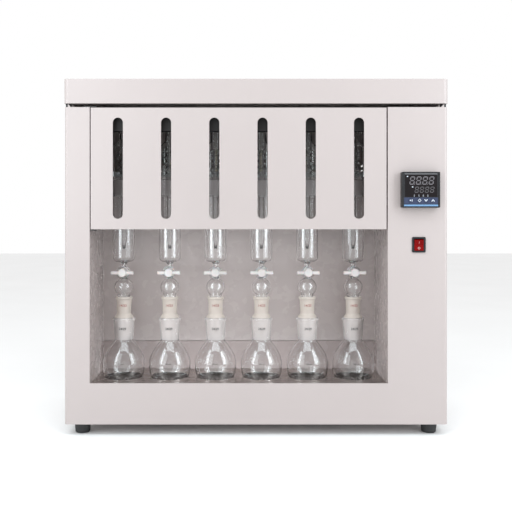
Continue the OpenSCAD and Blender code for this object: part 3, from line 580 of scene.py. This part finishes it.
def hose_half(name, x, z, front):
    """Half of a silicone hose between a manifold stub and a condenser spigot; front says which half."""
    def centre(t):
        u = 1 - t
        y0, y1, y2, y3 = HOSE_CURVE_Y
        y = u ** 3 * y0 + 3 * t * u * u * y1 + 3 * t * t * u * y2 + t ** 3 * y3
        return Vector((x, y, z + 3 * t * u * HOSE_BOW * (1 - 2 * t)))

    if front:
        path = [Vector((x, y, z)) for y in FRONT_END_Y] + [centre(t) for t in reach(0, 0.5, 0.025)]
    else:
        path = [centre(t) for t in reach(0.5, 1, 0.025)] + [Vector((x, y, z)) for y in BACK_END_Y]
    work = bmesh.new()
    shells = []
    for radius in HOSE_RADII:
        rings = []
        for k, p in enumerate(path):
            ahead = (path[min(k + 1, len(path) - 1)] - path[max(k - 1, 0)]).normalized()
            up = ACROSS.cross(ahead)
            rings.append([work.verts.new((p + ACROSS * radius * math.cos(a) + up * radius * math.sin(a)) * MM)
                          for a in ring_angles(HOSE_SIDES)])
        for low, high in zip(rings, rings[1:]):
            for k in range(HOSE_SIDES):
                j = (k + 1) % HOSE_SIDES
                work.faces.new((low[k], low[j], high[j], high[k]))
        shells.append(rings)
    outer, inner = (rings[0 if front else -1] for rings in shells)
    for k in range(HOSE_SIDES):
        j = (k + 1) % HOSE_SIDES
        work.faces.new((outer[k], outer[j], inner[j], inner[k]))
    piece = link(name, finish_mesh(name, work, 50), HOSE, body=None, replaces=["condenser_hoses"], slot="hose")
    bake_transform(piece)


for i in STATIONS:
    for word, z in SPIGOT_LEVELS.items():
        hose_half(f"hose_{word}_back_{i}", station_x(i), z, False)
        hose_half(f"hose_{word}_front_{i}", station_x(i), z, True)

# ---- Marks and displays ----

MARK_ROOT = -0.02  # how far a mark's underside lies below the surface it is on


def decal(name, shapes, place, material, body, thick):
    """Thin raised marks. Each shape is a loop of (u, v) millimetres, or a pair of equal loops, outer and inner; place
    maps (u, v, height) to a point in millimetres."""
    work = bmesh.new()
    for shape in shapes:
        rings = [shape] if isinstance(shape[0][0], (int, float)) else list(shape)
        tops = [[work.verts.new(Vector(place(u, v, thick)) * MM) for u, v in ring] for ring in rings]
        lows = [[work.verts.new(Vector(place(u, v, MARK_ROOT)) * MM) for u, v in ring] for ring in rings]
        count = len(rings[0])
        if len(rings) == 1:
            work.faces.new(tops[0])
            work.faces.new(lows[0][::-1])
        else:
            for k in range(count):
                j = (k + 1) % count
                work.faces.new((tops[0][k], tops[0][j], tops[1][j], tops[1][k]))
                work.faces.new((lows[0][j], lows[0][k], lows[1][k], lows[1][j]))
        for top, low in zip(tops, lows):
            for k in range(count):
                j = (k + 1) % count
                work.faces.new((low[k], low[j], top[j], top[k]))
    link(name, finish_mesh(name, work, 20), material, body=body)


def rectangle(u0, v0, u1, v1):
    return [(u0, v0), (u1, v0), (u1, v1), (u0, v1)]


def circle(u, v, radius, count=24):
    return [(u + radius * math.cos(a), v + radius * math.sin(a)) for a in ring_angles(count)]


DIGIT_SLANT = 0.16


def digit(u, v, w, h, bar):
    """The seven bars of one unlit digit whose lower left corner is at (u, v)."""
    gap = bar * 0.12
    half = h / 2

    def lean(points):
        return [(u + a + b * DIGIT_SLANT, v + b) for a, b in points]

    def across(b):
        low, high, near, far = b - bar / 2, b + bar / 2, bar + gap, w - bar - gap
        return lean([(gap + bar / 2, b), (near, low), (far, low), (w - gap - bar / 2, b), (far, high), (near, high)])

    def upright(a, foot):
        left, right, low, high = a - bar / 2, a + bar / 2, foot + bar + gap, foot + half - bar - gap
        return lean([(a, foot + gap + bar / 2), (right, low), (right, high), (a, foot + half - gap - bar / 2),
                     (left, high), (left, low)])

    return [across(b) for b in (bar / 2, half, h - bar / 2)] + [
        upright(a, foot) for a in (bar / 2, w - bar / 2) for foot in (0, half)]


INK_LIFT = 0.05
INK_THICKNESS = 0.02
INK_SPREAD = 0.012  # growth of the letters' outlines, as a share of their height


def size_mark(name, words, height, station, level, radius, material, body):
    """A printed size mark around a glass piece whose radius at height z is radius(z)."""
    curve = bpy.data.curves.new(name, "FONT")
    curve.body = words
    curve.size = height
    curve.offset = height * INK_SPREAD
    curve.align_x = "CENTER"
    curve.extrude = INK_THICKNESS
    flat = bpy.data.objects.new(name + "_flat", curve)
    bpy.context.scene.collection.objects.link(flat)
    bpy.context.view_layer.update()
    mesh = bpy.data.meshes.new_from_object(flat.evaluated_get(bpy.context.evaluated_depsgraph_get()))
    bpy.data.objects.remove(flat)
    for vertex in mesh.vertices:
        u, v, w = vertex.co
        r = radius(level + v) + INK_LIFT + w
        vertex.co = Vector((station_x(station) + r * math.sin(u / r), GLASS_Y - r * math.cos(u / r), level + v)) * MM
    mesh.name = name
    mesh.materials.clear()
    link(name, mesh, material, body=body)


def shoulder_radius(z):
    """The outer radius of the flask above its belly, at height z."""
    return SHOULDER_R + SHOULDER_SWELL * math.cos(math.radians(90 * (z - BELLY_Z) / SHOULDER_RISE))


def neck_radius(z):
    """The outer radius of the flask's neck at height z."""
    return SHOULDER_R + (z - BELLY_Z - SHOULDER_RISE) * 0.075


def adapter_radius(z):
    """The outer radius of the adapter's upper half at height z."""
    return 13.85 + (z - 226) * 0.046


for i in STATIONS:
    size_mark(f"mark_socket_{i}", "24/29", 6.4, i, 193.0, neck_radius, INK, "root")
    size_mark(f"mark_adapter_{i}", "14/23", 6.8, i, 238.5, adapter_radius, INK_RED, f"tube_{i}")
    size_mark(f"mark_belly_{i}", "150 mL", 4.2, i, 128, shoulder_radius, INK, "root")

CONTROL_X, CONTROL_Z, FACE_Y = 312.0, 469.6, -169.0
KEY_X, KEY_Z, KEY_R = (-19, -3, 9.2, 22.6), -20.2, 4.4


def on_face(u, v, height):
    """A point height above the controller's sunk face."""
    return CONTROL_X + u, FACE_Y - height, CONTROL_Z + v


def on_key(k):
    """The place function of the cap of key k."""
    return lambda u, v, height: (CONTROL_X + KEY_X[k] + u, FACE_Y - 0.8 - height, CONTROL_Z + KEY_Z + v)


def cell(u0, u1, v0, v1, centre, radius):
    """A rectangle with a round hole, as a pair of loops with the same number of points."""
    cu, cv = centre
    corners = [math.atan2(v - cv, u - cu) for u in (u0, u1) for v in (v0, v1)]
    angles = sorted([a - math.pi for a in ring_angles(40)] + corners)
    outer = []
    for a in angles:
        c, s = math.cos(a), math.sin(a)
        reaches = [(u1 - cu) / c if c > 1e-9 else (u0 - cu) / c if c < -1e-9 else 1e9,
                   (v1 - cv) / s if s > 1e-9 else (v0 - cv) / s if s < -1e-9 else 1e9]
        outer.append((cu + min(reaches) * c, cv + min(reaches) * s))
    return outer, [(cu + radius * math.cos(a), cv + radius * math.sin(a)) for a in angles]


decal("display_window", [rectangle(-30.5, -13.6, 30.5, 28.4)], on_face, WINDOW, "root", 0.05)
decal("display_strip", [rectangle(-31, 29.3, 31, 30.9)], on_face, PRINT_DIM, "root", 0.06)
decal("upper_digits", [bar for k in range(4) for bar in digit(-22.5 + 12.1 * k, 9.6, 9.4, 15.6, 1.9)], on_face, DIGIT,
      "root", 0.1)
decal("upper_points", [circle(-12.4 + 12.1 * k, 10.4, 0.75, 16) for k in range(3)], on_face, DIGIT, "root", 0.1)
decal("lower_digits", [bar for k in range(4) for bar in digit(-12.6 + 9.7 * k, -5.6, 7.3, 11.4, 1.4)], on_face,
      DIGIT_DIM, "root", 0.1)
INDICATORS_X = (-12.8, -4.1, 4.3, 12.8)
decal("face_marks", [rectangle(-27, 24.4, -24.6, 26.2), rectangle(-17.2, 4.4, -14.8, 6.2)]
      + [rectangle(c - 1.1, -12.2, c + 1.1, -11.3) for c in INDICATORS_X], on_face, PRINT, "root", 0.1)
decal("indicators", [circle(c, -9.3, 0.95, 20) for c in INDICATORS_X], on_face, DIGIT, "root", 0.14)
edges = [-32.2] + [(a + b) / 2 for a, b in zip(KEY_X, KEY_X[1:])] + [32.2]
decal("key_band", [cell(edges[k], edges[k + 1], -26.8, -14.6, (KEY_X[k], KEY_Z), KEY_R + 0.25) for k in range(4)],
      on_face, BAND, "root", 0.06)
decal("maker_bar", [rectangle(-32.2, -31.2, 32.2, -28.0)], on_face, SKY, "root", 0.06)

ICONS = {
    "set": [[(-3.2, 0), (-1.2, 1.7), (-1.2, 0.6), (0.6, 0.6), (0.6, -0.6), (-1.2, -0.6), (-1.2, -1.7)],
            [(1.4 + 1.6 * math.cos(math.radians(a)), 2.4 * math.sin(math.radians(a))) for a in reach(-80, 80, 20)]
            + [(1.2 + 0.7 * math.cos(math.radians(a)), 1.5 * math.sin(math.radians(a))) for a in reach(80, -80, 20)]],
    "shift": [([(0, 3.5), (-3.5, 0), (0, -3.5), (3.5, 0)], [(0, 2.2), (-2.2, 0), (0, -2.2), (2.2, 0)])],
    "down": [[(-3.4, 1.6), (-2.2, 2.5), (0, 0), (2.2, 2.5), (3.4, 1.6), (0, -2.5)]],
    "up": [[(-3.4, -1.6), (0, 2.5), (3.4, -1.6), (2.2, -2.5), (0, 0), (-2.2, -2.5)]],
}
for k, word in enumerate(("set", "shift", "down", "up")):
    soften(f"{word}_button", BAND, 0.0001)
    decal(f"{word}_icon", ICONS[word], on_key(k), PRINT, f"{word}_button", 0.06)

ROCKER_PLACE = Matrix.Translation((311, -150, 365)) @ Matrix.Rotation(math.radians(7), 4, "X")


def on_rocker(u, v, height):
    """A point height above the rocker's V-shaped front."""
    return ROCKER_PLACE @ Vector((u, -7 - 0.23 * abs(v) - height, v))


soften("rocker", RED, 0.0004)
decal("rocker_on", [rectangle(-0.55, 3.2, 0.55, 7.6)], on_rocker, PINK, "rocker", 0.08)
decal("rocker_off", [(circle(0, -5.4, 2.3), circle(0, -5.4, 1.5))], on_rocker, PALE, "rocker", 0.08)

# ---- Floor ----

# Just under the feet, so that no two faces coincide
FLOOR_Z = -0.0003
FLOOR_HALF = 6
floor_corners = [(x, y, FLOOR_Z) for x, y in rectangle(-FLOOR_HALF, -FLOOR_HALF, FLOOR_HALF, FLOOR_HALF)]
floor_mesh = bpy.data.meshes.new("floor")
floor_mesh.from_pydata(floor_corners, [], [(0, 1, 2, 3)])
floor_finish = Finish("floor_paint", Roughness=0.8)
floor_finish.colours(floor_finish.spread(floor_finish.noise(3), 0, 1), (0.83, 0.83, 0.83), (0.85, 0.85, 0.85))
floor = bpy.data.objects.new("floor", floor_mesh)
floor_mesh.materials.append(floor_finish.material)
bpy.context.scene.collection.objects.link(floor)
